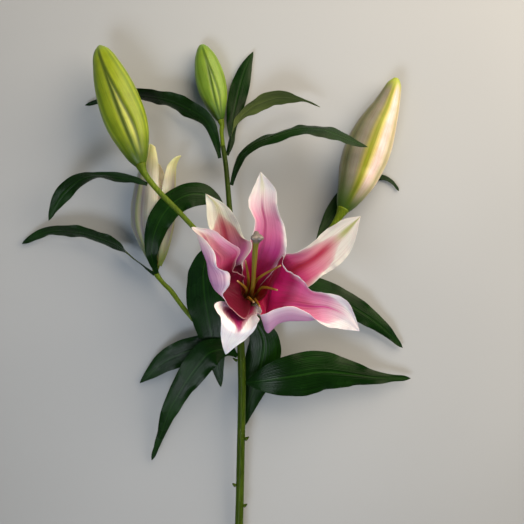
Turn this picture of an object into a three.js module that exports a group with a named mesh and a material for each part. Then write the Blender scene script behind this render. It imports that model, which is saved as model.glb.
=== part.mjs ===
// Cut stem of an oriental lily, lying on a flat surface with its open flower facing up.
//
// Units are millimetres, +Z is up and the main stem lies along +Y from its cut end to its top bud.
// Every organ is one closed loft: a row of cross-sections from its base to its tip, capped at both
// ends. Stems and stamens have round sections, buds lobed ones, and leaves and tepals thin lens
// sections whose upper side has one point more than their underside.

import * as THREE from 'three';

// ---------- driving dimensions ----------

const SEAT_GAP = 0.32;            // clearance where one organ is seated on another
const STEM_SIDES = 10;
const SLENDER_SIDES = 6;          // filaments and leaf stubs
const BUD_SIDES = 18;             // three points to each of the six lobes
const LEAF_RINGS = 14;
const TEPAL_RINGS = 27;
const BUD_RINGS = 15;

const LEAF_THICKNESS = 0.9;
const LEAF_MIDRIB = 1.8;
const TEPAL_THICKNESS = 1.1;
const TEPAL_MIDRIB = 2.0;

// positions across a blade, from its left margin at -1 to its right margin at 1
const LEAF_UPPER = [-0.6, -0.2, 0.2, 0.6];
const LEAF_UNDER = [-0.6, 0, 0.6];
const TEPAL_PLACES = [-0.8, -0.5, -0.2, 0.2, 0.5, 0.8];

// main stem: x, y, z and radius, from the cut end to the node below the top bud
const STEM = [
  [-28, -400, 4.1, 4.0],
  [-25, -330, 8, 4.0],
  [-22, -252, 13, 3.9],
  [-20, -170, 20, 3.8],
  [-19, -112, 25, 3.7],
  [-20, -78, 28, 3.6],
  [-22, -45, 29, 3.4],
  [-25, -3, 30, 3.1],
  [-30, 44, 28, 2.7],
  [-32, 68, 27, 2.4],
  [-34, 90, 25, 2.3],
  [-37, 110, 23, 2.3],
];

// the open flower: where its tepals meet, and the axis along which its trumpet opens
const FLOWER_BASE = new THREE.Vector3(-15, -38, 53);
const FLOWER_AXIS = new THREE.Vector3(0.25, 0.45, 0.857).normalize();
const FLOWER_UP = new THREE.Vector3(0, 1, 0).addScaledVector(FLOWER_AXIS, -FLOWER_AXIS.y).normalize();
const FLOWER_SIDE = new THREE.Vector3().crossVectors(FLOWER_UP, FLOWER_AXIS);
const RECEPTACLE_RADIUS = 8.4;

// ---------- materials ----------

const matte = (color, roughness) => new THREE.MeshStandardMaterial({ color, roughness, metalness: 0 });

const STEM_GREEN = matte(0x4f6a1a, 0.55);
const PEDICEL_GREEN = matte(0x5d7836, 0.55);
const LEAF_GREEN = matte(0x1d4420, 0.42);
const LEAF_UNDERSIDE = matte(0x56652f, 0.6);
const YOUNG_BUD_GREEN = matte(0x79a245, 0.5);
const FULL_BUD_GREEN = matte(0x97ad40, 0.5);
const PALE_BUD = matte(0xe0d3bf, 0.5);
const GREY_BUD = matte(0xa9a798, 0.55);
const TEPAL_PINK = matte(0xd68bb4, 0.5);
const TEPAL_ROSE = matte(0xc9669b, 0.5);
const FILAMENT_GREEN = matte(0x8a7a2c, 0.5);
const STYLE_GREEN = matte(0x8c8a2c, 0.45);

// ---------- curves ----------

// The distance between two rows. A row holds whole points, which may be followed by one or two
// other numbers such as a radius, and only the points count.
function distanceBetween(a, b) {
  const coordinates = a.length - (a.length % 3);
  return Math.hypot(...a.slice(0, coordinates).map((value, i) => value - b[i]));
}

// The slope of a curve through three rows, at the middle one, for a step as long as the given one.
function slopeAt(before, here, after, stepLength) {
  const behind = distanceBetween(before, here);
  const ahead = distanceBetween(here, after);
  if (behind === 0 || ahead === 0) {
    const only = Math.max(behind, ahead);
    return here.map((_, i) => ((after[i] - before[i]) * stepLength) / only);
  }
  return here.map((value, i) => {
    const risingBefore = (value - before[i]) / behind;
    const risingAfter = (after[i] - value) / ahead;
    return ((risingBefore * ahead + risingAfter * behind) / (behind + ahead)) * stepLength;
  });
}

// A smooth curve through rows of numbers, at u from 0 to 1, with equal shares of u between rows.
function alongRows(rows, u) {
  const last = rows.length - 1;
  const place = Math.min(Math.max(u, 0), 1) * last;
  const k = Math.min(Math.floor(place), last - 1);
  const f = place - k;
  const [start, end] = [rows[k], rows[k + 1]];
  const length = distanceBetween(start, end);
  const startSlope = slopeAt(rows[Math.max(k - 1, 0)], start, end, length);
  const endSlope = slopeAt(start, end, rows[Math.min(k + 2, last)], length);
  return start.map((value, i) => {
    const rise = end[i] - value;
    const square = 3 * rise - 2 * startSlope[i] - endSlope[i];
    const cube = startSlope[i] + endSlope[i] - 2 * rise;
    return value + f * (startSlope[i] + f * (square + f * cube));
  });
}

const evenly = (count, read) => Array.from({ length: count }, (_, i) => read(i / (count - 1)));
const point = (row) => new THREE.Vector3(row[0], row[1], row[2]);
const toRow = (v) => [v.x, v.y, v.z];

// The frame at each point of a spine: its direction, the side to the right of it and the face above.
function frames(spine, reference) {
  return spine.map((at, i) => {
    const from = spine[Math.max(i - 1, 0)];
    const to = spine[Math.min(i + 1, spine.length - 1)];
    const along = to.clone().sub(from).normalize();
    const side = new THREE.Vector3().crossVectors(along, reference).normalize();
    const face = new THREE.Vector3().crossVectors(side, along);
    return { at, along, side, face };
  });
}

// ---------- lofts ----------

// Joins rings of equal length into one closed body. The tip cap rises by tipHeight.
function loft(rings, tipHeight) {
  const size = rings[0].length;
  const middle = (ring) => ring.reduce((sum, p) => sum.add(p), new THREE.Vector3()).divideScalar(size);
  const baseMiddle = middle(rings[0]);
  const lastMiddle = middle(rings.at(-1));
  const growth = lastMiddle.clone().sub(middle(rings.at(-2))).normalize();
  const tip = lastMiddle.addScaledVector(growth, tipHeight);
  const points = [...rings.flat(), baseMiddle, tip];
  const baseIndex = points.length - 2;
  const tipIndex = points.length - 1;
  const lastRing = (rings.length - 1) * size;
  const faces = [];
  for (let j = 0; j < size; j += 1) {
    const next = (j + 1) % size;
    faces.push([baseIndex, next, j]);
    for (let k = 0; k < rings.length - 1; k += 1) {
      const a = k * size + j;
      const b = k * size + next;
      faces.push([a, b, b + size]);
      faces.push([a, b + size, a + size]);
    }
    faces.push([tipIndex, lastRing + j, lastRing + next]);
  }
  const volume = faces.reduce((sum, [a, b, c]) => {
    const cross = new THREE.Vector3().crossVectors(points[b], points[c]);
    return sum + points[a].dot(cross);
  }, 0);
  if (volume < 0) {
    faces.forEach((face) => face.reverse());
  }
  const geometry = new THREE.BufferGeometry();
  geometry.setAttribute('position', new THREE.Float32BufferAttribute(points.flatMap(toRow), 3));
  geometry.setIndex(faces.flat());
  geometry.computeVertexNormals();
  return geometry;
}

// A tapering tube through rows of x, y, z and radius. lobe(angle, u) shapes the section and depth
// flattens it from above.
function tubeRings(rows, { rings, sides, reference, lobe = () => 1, depth = 1 }) {
  const samples = evenly(rings, (u) => alongRows(rows, u));
  const spine = frames(samples.map(point), reference);
  return spine.map(({ at, side, face }, k) => {
    const radius = samples[k][3];
    return Array.from({ length: sides }, (_, j) => {
      const angle = (2 * Math.PI * j) / sides;
      const reach = radius * lobe(angle, k / (rings - 1));
      return at
        .clone()
        .addScaledVector(side, reach * Math.cos(angle))
        .addScaledVector(face, reach * depth * Math.sin(angle));
    });
  });
}

const UP = new THREE.Vector3(0, 0, 1);

function tube(rows, rings, sides, reference = UP, tipHeight = 0) {
  return loft(tubeRings(rows, { rings, sides, reference }), tipHeight);
}

// A thin blade over a middle surface: surface(u, s) gives its point at u along and s across.
function blade(surface, { rings, upper, under, thickness, midrib, tipHeight }) {
  const step = 0.01;
  const normalAt = (u, s) => {
    const forward = surface(Math.min(u + step, 1), s).sub(surface(Math.max(u - step, 0), s));
    const across = surface(u, Math.min(s + step, 1)).sub(surface(u, Math.max(s - step, -1)));
    return across.cross(forward).normalize();
  };
  const lift = (u, s, sign) => {
    const rib = (midrib - thickness) * Math.max(0, 1 - 3 * Math.abs(s)) * (1 - u);
    const half = (sign * (thickness + rib)) / 2;
    return surface(u, s).addScaledVector(normalAt(u, s), half);
  };
  const ringAt = (u) => [
    surface(u, -1),
    ...upper.map((s) => lift(u, s, 1)),
    surface(u, 1),
    ...[...under].reverse().map((s) => lift(u, s, -1)),
  ];
  return loft(evenly(rings, ringAt), tipHeight);
}

// ---------- the object ----------

const lily = new THREE.Group();

function add(name, geometry, material) {
  const mesh = new THREE.Mesh(geometry, material);
  mesh.name = name;
  lily.add(mesh);
}

// ---------- main stem and its leaf stubs ----------

add('main_stem', tube(STEM, 24, STEM_SIDES), STEM_GREEN);

// A seat beside the main stem at height y: angle 0 is its +X side and 90 its upper side, and lift
// is the distance of the organ's middle from its own edge.
function besideStem(y, angleDegrees, lift) {
  const above = STEM.findIndex((row) => row[1] >= y);
  const low = STEM[above - 1];
  const high = STEM[above];
  const f = (y - low[1]) / (high[1] - low[1]);
  const [x, , z, radius] = low.map((value, i) => value + f * (high[i] - value));
  const angle = THREE.MathUtils.degToRad(angleDegrees);
  const reach = radius + SEAT_GAP + lift;
  return [x + reach * Math.cos(angle), y, z + reach * Math.sin(angle)];
}

// Short woody stubs are left where lower leaves were stripped off.
function leafStub(name, y, angle, length, radius) {
  const slant = 0.65;
  const rows = [
    [...besideStem(y, angle, slant), radius],
    [...besideStem(y + 0.2 * length, angle, 0.5 * length), 0.8 * radius],
    [...besideStem(y + 0.6 * length, angle, length), 0.35 * radius],
  ];
  add(name, tube(rows, 4, SLENDER_SIDES), STEM_GREEN);
}

leafStub('leaf_stub_lowest', -233, 10, 3.0, 1.7);
leafStub('leaf_stub_left', -213, 170, 3.0, 1.7);
leafStub('leaf_stub_right', -168, 15, 3.6, 1.8);
leafStub('bract_scale', -93, 188, 4.0, 1.5);

// ---------- buds: x, y, z and radius, from base to tip ----------

const LEFT_BUD = [
  [-111, 89.4, 55, 5.4],
  [-115.2, 100.6, 53, 11.4],
  [-119.6, 114, 51, 16.2],
  [-124.8, 128.5, 49, 18.9],
  [-129.8, 142, 47, 19.2],
  [-134.8, 156, 45, 18.2],
  [-139.8, 169.5, 42.5, 16],
  [-145, 183.5, 39.5, 12.4],
  [-149.4, 195, 36.5, 8],
  [-152, 202, 34.5, 2],
];

const TOP_BUD = [
  [-39.7, 135.6, 18, 3.6],
  [-42, 143.6, 17, 7.2],
  [-44.8, 155, 15.6, 11.4],
  [-47.6, 166.5, 13.8, 13.4],
  [-50.5, 179, 12.9, 13.4],
  [-53.2, 190.5, 13.2, 11.5],
  [-55.8, 200.5, 12.6, 8],
  [-58, 208, 12, 2.6],
];

const RIGHT_BUD = [
  [76.6, 50.4, 27.8, 6.4],
  [83.5, 64, 25, 12.8],
  [89.2, 76.5, 22.5, 17.4],
  [94.6, 91, 19.4, 20.4],
  [99.8, 104.5, 18.7, 21.4],
  [105, 118, 18.8, 20.4],
  [110.2, 130.5, 19.6, 17.8],
  [116.6, 144, 19.8, 13.8],
  [121.8, 157.5, 20, 10],
  [125.6, 168, 20, 6.6],
  [128, 174.5, 20, 2.6],
];

// only the part where the outer tepals still lie together
const OPENING_BUD = [
  [-101, -2.6, 23, 4.8],
  [-101.2, 6, 22.8, 9.2],
  [-102.4, 17, 21.8, 14],
  [-104, 30, 20.2, 18.6],
  [-104, 44, 19.4, 20.8],
  [-103.6, 58, 19.2, 20.4],
  [-103.4, 72, 19.2, 18.4],
  [-103.2, 84, 19.4, 15],
];

// ---------- pedicels ----------

// The end of a pedicel widens over its last stretch, in line with the bud that it carries.
const BUD_SEAT_LENGTH = 6;
const BUD_SEAT_NARROWING = 0.7;

function carryBud(rows, budRows, radius) {
  const start = point(budRows[0]);
  const backward = start.clone().sub(point(budRows[1])).normalize();
  const behind = (distance) => toRow(start.clone().addScaledVector(backward, distance));
  const neck = [...behind(BUD_SEAT_LENGTH), BUD_SEAT_NARROWING * radius];
  return [...rows, neck, [...behind(SEAT_GAP), radius]];
}

const PEDICEL_ROWS = {
  pedicel_left_bud: carryBud([
    [...besideStem(-4, 130, 1.7), 2.3],
    [-50, 18, 42.5, 2.3],
    [-65, 34, 49.5, 2.3],
    [-79, 49, 54, 2.4],
    [-92, 62, 56.5, 2.5],
    [-101.5, 73, 57, 2.7],
  ], LEFT_BUD, 5.2),
  pedicel_opening_bud: carryBud([
    [...besideStem(-75, 188, 0.9), 2.2],
    [-38, -73, 27, 2.2],
    [-54, -64, 27.5, 2.2],
    [-71, -47, 28, 2.2],
    [-86, -27, 27, 2.3],
  ], OPENING_BUD, 4.2),
  pedicel_right_bud: carryBud([
    [...besideStem(-37, 15, 0.9), 2.3],
    [6, -27, 31, 2.3],
    [24, -14, 31.5, 2.3],
    [40, 2, 31.5, 2.3],
    [55, 18, 31, 2.5],
    [67, 34, 30, 3.0],
  ], RIGHT_BUD, 6.2),
  pedicel_top_bud: carryBud([
    [-37.15, 110.75, 22.85, 2.2],
    [-37.9, 118, 21.6, 2.0],
    [-38.6, 125, 20.2, 2.1],
  ], TOP_BUD, 3.4),
};

for (const [name, rows] of Object.entries(PEDICEL_ROWS)) {
  add(name, tube(rows, 2 * rows.length - 1, STEM_SIDES - 2), PEDICEL_GREEN);
}

const alongFlower = (distance) => FLOWER_BASE.clone().addScaledVector(FLOWER_AXIS, distance);

// The flower's own pedicel widens into the receptacle that carries its tepals and stamens.
const FLOWER_PEDICEL = [
  [...besideStem(-70, 85, 2.3), 2.5],
  [-19, -59, 38.5, 2.5],
  [...toRow(alongFlower(-10)), 2.8],
  [...toRow(alongFlower(-5)), 4.2],
  [...toRow(alongFlower(-2)), 7.6],
  [...toRow(alongFlower(0)), RECEPTACLE_RADIUS],
];
add('pedicel_flower', tube(FLOWER_PEDICEL, 11, STEM_SIDES + 2, FLOWER_SIDE), PEDICEL_GREEN);

// ---------- closed buds ----------

// Six ribs run along a bud: the outer tepals' backs and, between them, the inner tepals' midribs.
const ribbed = (amount) => (angle, u) => 1 + amount * Math.sin(Math.PI * u) * Math.cos(6 * angle);

function bud(name, rows, material, depth) {
  const shape = { rings: BUD_RINGS, sides: BUD_SIDES, reference: UP, lobe: ribbed(0.05), depth };
  add(name, loft(tubeRings(rows, shape), 1), material);
}

bud('bud_left', LEFT_BUD, FULL_BUD_GREEN, 0.95);
bud('bud_top', TOP_BUD, YOUNG_BUD_GREEN, 0.98);
bud('bud_right', RIGHT_BUD, PALE_BUD, 0.9);

// ---------- opening bud ----------

// Its outer tepals have begun to part at their tips around the inner ones, which are still furled.
const OPENING_BUD_DEPTH = 0.9;
const FURLED_INSET = 2.5;

const furledRows = [
  ...OPENING_BUD.slice(0, 5).map(([x, y, z, radius]) => [x, y, z, radius - FURLED_INSET]),
  [-103.6, 58, 19.2, 14.5],
  [-103.4, 70, 19.2, 9.5],
  [-103.2, 80, 19.3, 4],
  [-103, 84, 19.4, 1.5],
];
const furledShape = {
  rings: BUD_RINGS, sides: BUD_SIDES, reference: UP, lobe: ribbed(0.03), depth: OPENING_BUD_DEPTH,
};
add('opening_bud_inner_tepals', loft(tubeRings(furledRows, furledShape), 1), GREY_BUD);

// tip is the free end of one outer tepal, and angle its middle around the bud, 90 being on top
function openingTepal(name, angleDegrees, tip) {
  const halfAngle = 57;
  const freeFrom = 0.5;
  const bodyEnd = 0.8;
  const surface = (u, s) => {
    const [x, y, z, radius] = alongRows(OPENING_BUD, Math.min(u / bodyEnd, 1));
    const onBud = (degrees) => {
      const angle = THREE.MathUtils.degToRad(degrees);
      const rise = OPENING_BUD_DEPTH * radius * Math.sin(angle);
      return new THREE.Vector3(x + radius * Math.cos(angle), y, z + rise);
    };
    const free = Math.max(0, (u - freeFrom) / (1 - freeFrom));
    const middle = onBud(angleDegrees);
    const outward = onBud(angleDegrees + s * halfAngle).sub(middle);
    const towardTip = free ** 2 * (3 - 2 * free);
    return middle.lerp(tip, towardTip).addScaledVector(outward, 1 - free ** 2);
  };
  const shape = {
    rings: LEAF_RINGS, upper: TEPAL_PLACES, under: TEPAL_PLACES,
    thickness: TEPAL_THICKNESS, midrib: TEPAL_MIDRIB, tipHeight: 0.5,
  };
  add(name, blade(surface, shape), GREY_BUD);
}

openingTepal('opening_bud_tepal_left', 128, new THREE.Vector3(-106, 112, 24));
openingTepal('opening_bud_tepal_right', 8, new THREE.Vector3(-77, 101, 24));
openingTepal('opening_bud_tepal_under', 248, new THREE.Vector3(-105, 97, 8));

// ---------- open flower ----------

// A point around the trumpet: distance along its axis, radius from it, and angle clockwise from
// its upper side as it is looked into.
function inTrumpet(distance, radius, angleDegrees) {
  const angle = THREE.MathUtils.degToRad(angleDegrees);
  return alongFlower(distance)
    .addScaledVector(FLOWER_UP, radius * Math.cos(angle))
    .addScaledVector(FLOWER_SIDE, radius * Math.sin(angle));
}

const ACROSS = [-1, -0.5, 0, 0.5, 1];
const TIP_HALF_WIDTH = 0.9;

// The claw of a tepal runs up inside the trumpet: distance, radius, half width and its turn
// from the tepal's seat towards the place where its blade spreads.
const INNER_CLAW = [
  [0.35, 6.3, 4.4, 0],
  [16, 8.4, 7.6, 0.2],
  [32, 12, 11, 0.45],
  [46, 18, 16.5, 0.75],
];
const OUTER_CLAW = [
  [0.35, 7.9, 4.2, 0],
  [16, 10.2, 8, 0.2],
  [32, 14.6, 11.5, 0.45],
  [44, 21.5, 14, 0.75],
];

// A tepal's blade is given by five points across at each of its stations, left margin first as
// its inner face is seen with the tip upward, and then by its tip.
function tepal(name, { claw, clawScale, seatAngle, spreadAngle, stations, tip, material }) {
  const clawRows = claw.map(([distance, radius, halfWidth, turn]) => {
    const middle = seatAngle + turn * (spreadAngle - seatAngle);
    const halfAngle = THREE.MathUtils.radToDeg(halfWidth / radius);
    const height = distance * clawScale ** turn;
    return ACROSS.flatMap((s) => toRow(inTrumpet(height, radius, middle + s * halfAngle)));
  });
  const lastStation = stations.at(-1);
  const left = point(lastStation[0]);
  const right = point(lastStation.at(-1));
  const tipSide = right.sub(left).normalize();
  const tipRow = ACROSS.flatMap((s) => toRow(point(tip).addScaledVector(tipSide, TIP_HALF_WIDTH * s)));
  const rows = [...clawRows, ...stations.map((station) => station.flat()), tipRow];
  const surface = (u, s) => {
    const flat = alongRows(rows, u);
    const tracks = ACROSS.map((_, i) => flat.slice(3 * i, 3 * i + 3));
    return point(alongRows(tracks, (s + 1) / 2));
  };
  const shape = {
    rings: TEPAL_RINGS, upper: TEPAL_PLACES, under: TEPAL_PLACES,
    thickness: TEPAL_THICKNESS, midrib: TEPAL_MIDRIB, tipHeight: 1.2,
  };
  add(name, blade(surface, shape), material);
}

tepal('tepal_inner_top', {
  claw: INNER_CLAW, clawScale: 1, seatAngle: 0, spreadAngle: 6, material: TEPAL_PINK,
  stations: [
    [[-15, 9, 96], [-8, 13, 94.5], [0, 15, 94], [11, 14, 95], [20, 6, 99]],
    [[-6, 30, 99], [-2, 31, 95], [2, 32, 94], [11, 31, 95], [21, 23, 98]],
    [[-12, 51, 98], [-7, 51, 95], [0, 51, 94], [7, 51, 95], [13, 51, 98]],
    [[-9, 62, 96], [-4, 64, 94], [0, 65, 94], [6, 64, 95], [12, 63, 97]],
  ],
  tip: [-1, 77.5, 97],
});

tepal('tepal_inner_right', {
  claw: INNER_CLAW.slice(0, 3), clawScale: 0.95, seatAngle: 122, spreadAngle: 135, material: TEPAL_PINK,
  stations: [
    [[17.5, 6, 99], [13, -9, 91], [7, -24, 87], [2, -37, 89], [-0.8, -41.8, 95]],
    [[20, -6, 106], [15, -17, 98], [8, -33, 95], [4, -61, 101], [1, -44.8, 112]],
    [[30, -11, 112], [28, -21, 104], [22, -35, 100], [16, -52, 107], [21, -37, 119]],
    [[43, -24, 110], [44, -29, 104], [43, -37, 102], [43, -50, 107], [42, -46, 114]],
    [[57, -27, 107], [58, -33, 103], [57, -39, 102], [56, -47, 104], [55, -55, 109]],
    [[74, -34, 105], [73, -39, 102], [72, -46, 102], [71, -52, 102], [69, -58, 104]],
  ],
  tip: [84, -59, 100],
});

tepal('tepal_inner_left', {
  claw: INNER_CLAW.slice(0, 3), clawScale: 0.8, seatAngle: 245, spreadAngle: 262, material: TEPAL_PINK,
  stations: [
    [[-15, -48, 113], [-19, -38, 101], [-20, -29, 93], [-20, -20, 90], [-16, -12, 91]],
    [[-28, -38.5, 115], [-28.5, -31, 105], [-28, -24, 98], [-25, -17, 95], [-20, -10, 97]],
    [[-33, -29, 116], [-38, -26, 109], [-34, -22, 102], [-29, -16, 99], [-22, -8, 102]],
    [[-27, -18, 128], [-43, -18, 117], [-38, -15, 107], [-31, -11, 106], [-25, -7, 109]],
    [[-28, -9, 127], [-45.5, -11, 116], [-38, -8, 107], [-30, -4, 106], [-22.5, 0, 111]],
    [[-36, -5, 125], [-47, -1, 114], [-37, 2, 105], [-27, 5, 106], [-18, 10, 114]],
    [[-41, 9, 122], [-52, 12, 114], [-45, 13, 108], [-39, 16, 110], [-32, 19, 117]],
    [[-48, 19, 120], [-55, 22, 116], [-50, 23, 114], [-46, 26, 115], [-41, 27, 119]],
  ],
  tip: [-59, 29, 118],
});

tepal('tepal_outer_right', {
  claw: OUTER_CLAW, clawScale: 1, seatAngle: 65, spreadAngle: 86, material: TEPAL_ROSE,
  stations: [
    [[17, 7, 94], [23, 1, 93], [29, -6, 93], [34, -13, 95], [39, -22, 99]],
    [[34, 10, 103], [38, 6, 97], [43, 2, 95], [49, -5, 95], [54, -11, 98]],
    [[51, 24, 100], [55, 20, 96], [59, 15, 94], [64, 8, 95], [69, -1, 98]],
    [[68, 36, 99], [70, 32, 96], [73, 27, 95], [77, 22, 96], [80, 16, 98]],
  ],
  tip: [85, 39, 96],
});

tepal('tepal_outer_bottom', {
  claw: OUTER_CLAW, clawScale: 0.6, seatAngle: 190, spreadAngle: 205, material: TEPAL_ROSE,
  stations: [
    [[-4.5, -45, 115], [-10, -49, 110], [-21, -49, 107], [-35, -41, 111], [-40, -36.5, 119]],
    [[-3, -50, 124], [-10, -56, 119], [-20, -58, 117], [-30, -53, 119], [-35, -48, 121]],
    [[-10, -62, 117], [-18, -65, 115], [-25, -66, 114], [-32, -64, 115], [-35, -61, 117]],
    [[-22, -72, 112], [-25, -72, 110], [-29, -72, 110], [-32, -72, 110], [-34, -71, 111]],
  ],
  tip: [-31, -79, 104],
});

tepal('tepal_outer_left', {
  claw: OUTER_CLAW, clawScale: 0.85, seatAngle: 305, spreadAngle: 299, material: TEPAL_ROSE,
  stations: [
    [[-41, -5, 97], [-39, -4, 94], [-36, -5, 94], [-29, -5, 95], [-21, -2, 98]],
    [[-42, 2, 97], [-39, 4, 94], [-33, 3, 95], [-26, 1, 100], [-17.5, -1, 105]],
    [[-42, 10, 96], [-39, 12, 93], [-31, 13, 93], [-20, 13, 97], [-8.5, 15, 104]],
    [[-45, 25, 95], [-41, 25, 92], [-33, 26, 91], [-24, 26, 93], [-16.5, 22, 98]],
    [[-48, 39, 94], [-43, 40, 91], [-37, 40, 90], [-30, 41, 91], [-22, 38, 94]],
    [[-49, 49, 93], [-44, 50, 91], [-40, 50, 91], [-35, 50, 91], [-31, 49, 92]],
  ],
  tip: [-48.5, 59, 93],
});

// Six filaments stand around the pistil. Their anthers are gone and their ends are bare.
const FILAMENTS = {
  filament_upper_left: { angle: 330, bend: [-12, -14, 95], end: [-14, 1, 118] },
  filament_left: { angle: 270, bend: [-14, -23, 95], end: [-21, -16, 115] },
  filament_upper_right: { angle: 30, bend: [-3, -14, 91], end: [16, -3, 108] },
  filament_right: { angle: 90, bend: [1, -22, 93], end: [13, -24, 112] },
  filament_lower_left: { angle: 210, bend: [-12, -31, 93], end: [-7, -34, 118] },
  filament_lower_right: { angle: 150, bend: [-6, -33, 90], end: [-2, -38, 112] },
};

for (const [name, { angle, bend, end }] of Object.entries(FILAMENTS)) {
  const rows = [
    [...toRow(inTrumpet(0.35, 4.2, angle)), 1.15],
    [...toRow(inTrumpet(16, 5.2, angle)), 1.15],
    [...bend, 1.2],
    [...end, 0.7],
  ];
  add(name, tube(rows, 10, SLENDER_SIDES, FLOWER_SIDE, 0.5), FILAMENT_GREEN);
}

// The pistil: a slender ovary, the long style and a three-lobed stigma.
const PISTIL = [
  [...toRow(alongFlower(0.35)), 2.2],
  [...toRow(alongFlower(14)), 2.5],
  [-9.5, -27, 80, 2.0],
  [-8, -21, 96, 1.8],
  [-7, -8, 112, 1.9],
  [-6, 7, 125, 2.4],
  [-5.3, 15, 130.5, 2.7],
  [-4.6, 19.2, 133.2, 4.0],
  [-4.3, 21.2, 134.9, 4.9],
  [-4.1, 22.4, 136, 3.9],
];
const STIGMA_FROM = 0.7;
const STIGMA_LOBE = 0.22;

function threeLobed(angle, u) {
  const swelling = Math.max(0, (u - STIGMA_FROM) / (1 - STIGMA_FROM));
  return 1 + STIGMA_LOBE * swelling * Math.cos(3 * angle);
}

const pistilShape = { rings: 19, sides: 12, reference: FLOWER_SIDE, lobe: threeLobed };
add('pistil', loft(tubeRings(PISTIL, pistilShape), 0), STYLE_GREEN);

// ---------- leaves ----------

// Each station of a leaf gives x, y, z, half width and roll in degrees: a roll above 0 raises
// the margin on its right. cup raises both margins, or lowers them below 0.
function leaf(name, stations, { cup = -0.12, material = LEAF_GREEN } = {}) {
  const surface = (u, s) => {
    const [x, y, z, halfWidth, rollDegrees] = alongRows(stations, u);
    const here = new THREE.Vector3(x, y, z);
    const ahead = point(alongRows(stations, Math.min(u + 0.02, 1)));
    const behind = point(alongRows(stations, Math.max(u - 0.02, 0)));
    const along = ahead.sub(behind).normalize();
    const side = new THREE.Vector3().crossVectors(along, UP).normalize();
    const face = new THREE.Vector3().crossVectors(side, along);
    const roll = THREE.MathUtils.degToRad(rollDegrees);
    const across = side.clone().multiplyScalar(Math.cos(roll)).addScaledVector(face, Math.sin(roll));
    const above = face.clone().multiplyScalar(Math.cos(roll)).addScaledVector(side, -Math.sin(roll));
    return here
      .addScaledVector(across, s * halfWidth)
      .addScaledVector(above, cup * halfWidth * s * s);
  };
  const shape = {
    rings: LEAF_RINGS, upper: LEAF_UPPER, under: LEAF_UNDER,
    thickness: LEAF_THICKNESS, midrib: LEAF_MIDRIB, tipHeight: 1.5,
  };
  add(name, blade(surface, shape), material);
}

leaf('leaf_top_left', [
  [...besideStem(100, 180, 2.2), 1.8, 0],
  [-45, 119, 25, 4.5, 20],
  [-53, 134, 27, 7.5, 35],
  [-68, 144, 26, 10, 42],
  [-91, 154, 22, 10, 55],
  [-119, 159, 16, 8.5, 62],
  [-146, 157.5, 10, 4, 45],
  [-170, 152, 5, 0.8, 0],
]);

leaf('leaf_top_upright', [
  [...besideStem(103, -30, 1.2), 1.8, 0],
  [-28.5, 115, 19, 2.5, 0],
  [-29, 126, 16, 4, 0],
  [-28, 138, 13, 6.5, 0],
  [-25, 153, 10, 8.6, 5],
  [-21, 170, 8.5, 9, 5],
  [-16, 187, 8, 6.5, 5],
  [-9, 202, 7, 0.8, 0],
]);

leaf('leaf_top_right', [
  [...besideStem(105, 30, 1.6), 1.8, 40],
  [-30, 119, 27, 3.5, 80],
  [-25, 131, 28, 7, 100],
  [-15, 143, 29, 10.5, 112],
  [0, 151, 29, 12, 115],
  [17, 156, 28, 11.5, 115],
  [34, 155, 25, 7.5, 105],
  [54, 148, 21, 0.8, 90],
], { material: LEAF_UNDERSIDE });

leaf('leaf_right_arching', [
  [...besideStem(74, 20, 1.6), 1.8, 0],
  [-25, 86, 31, 3, 20],
  [-20, 98, 37, 6, 45],
  [-6, 109, 44, 9.5, 58],
  [12, 116, 50, 11, 60],
  [32, 121, 54, 11, 60],
  [54, 121, 56, 11, 55],
  [75, 114, 55, 8.5, 50],
  [96, 106, 52, 0.8, 40],
]);

leaf('leaf_left_bud', [
  [-106.2, 71.6, 56.4, 1.8, 0],
  [-117, 75, 57, 4, 35],
  [-132, 77, 55, 6.5, 50],
  [-148, 79, 51, 6.5, 80],
  [-163, 78, 46, 8, 55],
  [-178, 70, 41, 8.5, 40],
  [-191, 56, 36, 6.5, 30],
  [-200, 40, 31, 0.8, 20],
]);

leaf('leaf_far_left', [
  [-103.3, -10.8, 25.2, 1.8, 30],
  [-113, -4, 22, 2.5, 75],
  [-124, 4, 20, 4, 85],
  [-134, 13, 18, 6.5, 65],
  [-148, 20, 17, 8.5, 52],
  [-166, 26, 16, 9, 52],
  [-187, 29.5, 14, 8.5, 55],
  [-208, 28.5, 11, 6, 45],
  [-231, 18, 6, 0.8, 20],
]);

leaf('leaf_over_opening_bud', [
  [-99.6, -9.6, 27.4, 2.2, 0],
  [-103, 5, 37, 5, 0],
  [-101, 22, 42, 9, 0],
  [-94, 40, 43.5, 11, 0],
  [-81, 56, 42, 12, 5],
  [-66, 63, 40, 12, 8],
  [-51, 62, 38, 9, 8],
  [-36, 53, 36, 0.8, 0],
]);

leaf('leaf_broad_left', [
  [...besideStem(20, 165, 1.2), 2.2, 0],
  [-42, 15, 31.5, 5, -5],
  [-53, 0, 34, 11.5, -10],
  [-54, -26, 38, 18.5, -12],
  [-50, -52, 37, 17, -12],
  [-45, -80, 33, 11, -8],
  [-39, -117, 26, 0.8, 0],
]);

leaf('leaf_lower_left', [
  [...besideStem(-88, 150, 1.3), 2.2, 0],
  [-33, -82, 36, 7, 0],
  [-46, -83, 40, 12.5, 0],
  [-61, -98, 38.5, 13, 0],
  [-75, -118, 33, 10.5, 5],
  [-88, -142, 26, 7.5, 5],
  [-97, -166, 17, 4, 0],
  [-106, -190, 8, 0.8, 0],
]);

leaf('leaf_folded_left', [
  [...besideStem(-64, 205, 1.2), 2.2, 0],
  [-38, -72, 20, 7, 5],
  [-58, -81, 17, 11.5, 10],
  [-78, -88, 15, 12.5, 10],
  [-94, -96, 13, 10, 5],
  [-107, -107, 10, 6, 0],
  [-117, -116, 7, 0.8, 0],
]);

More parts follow.
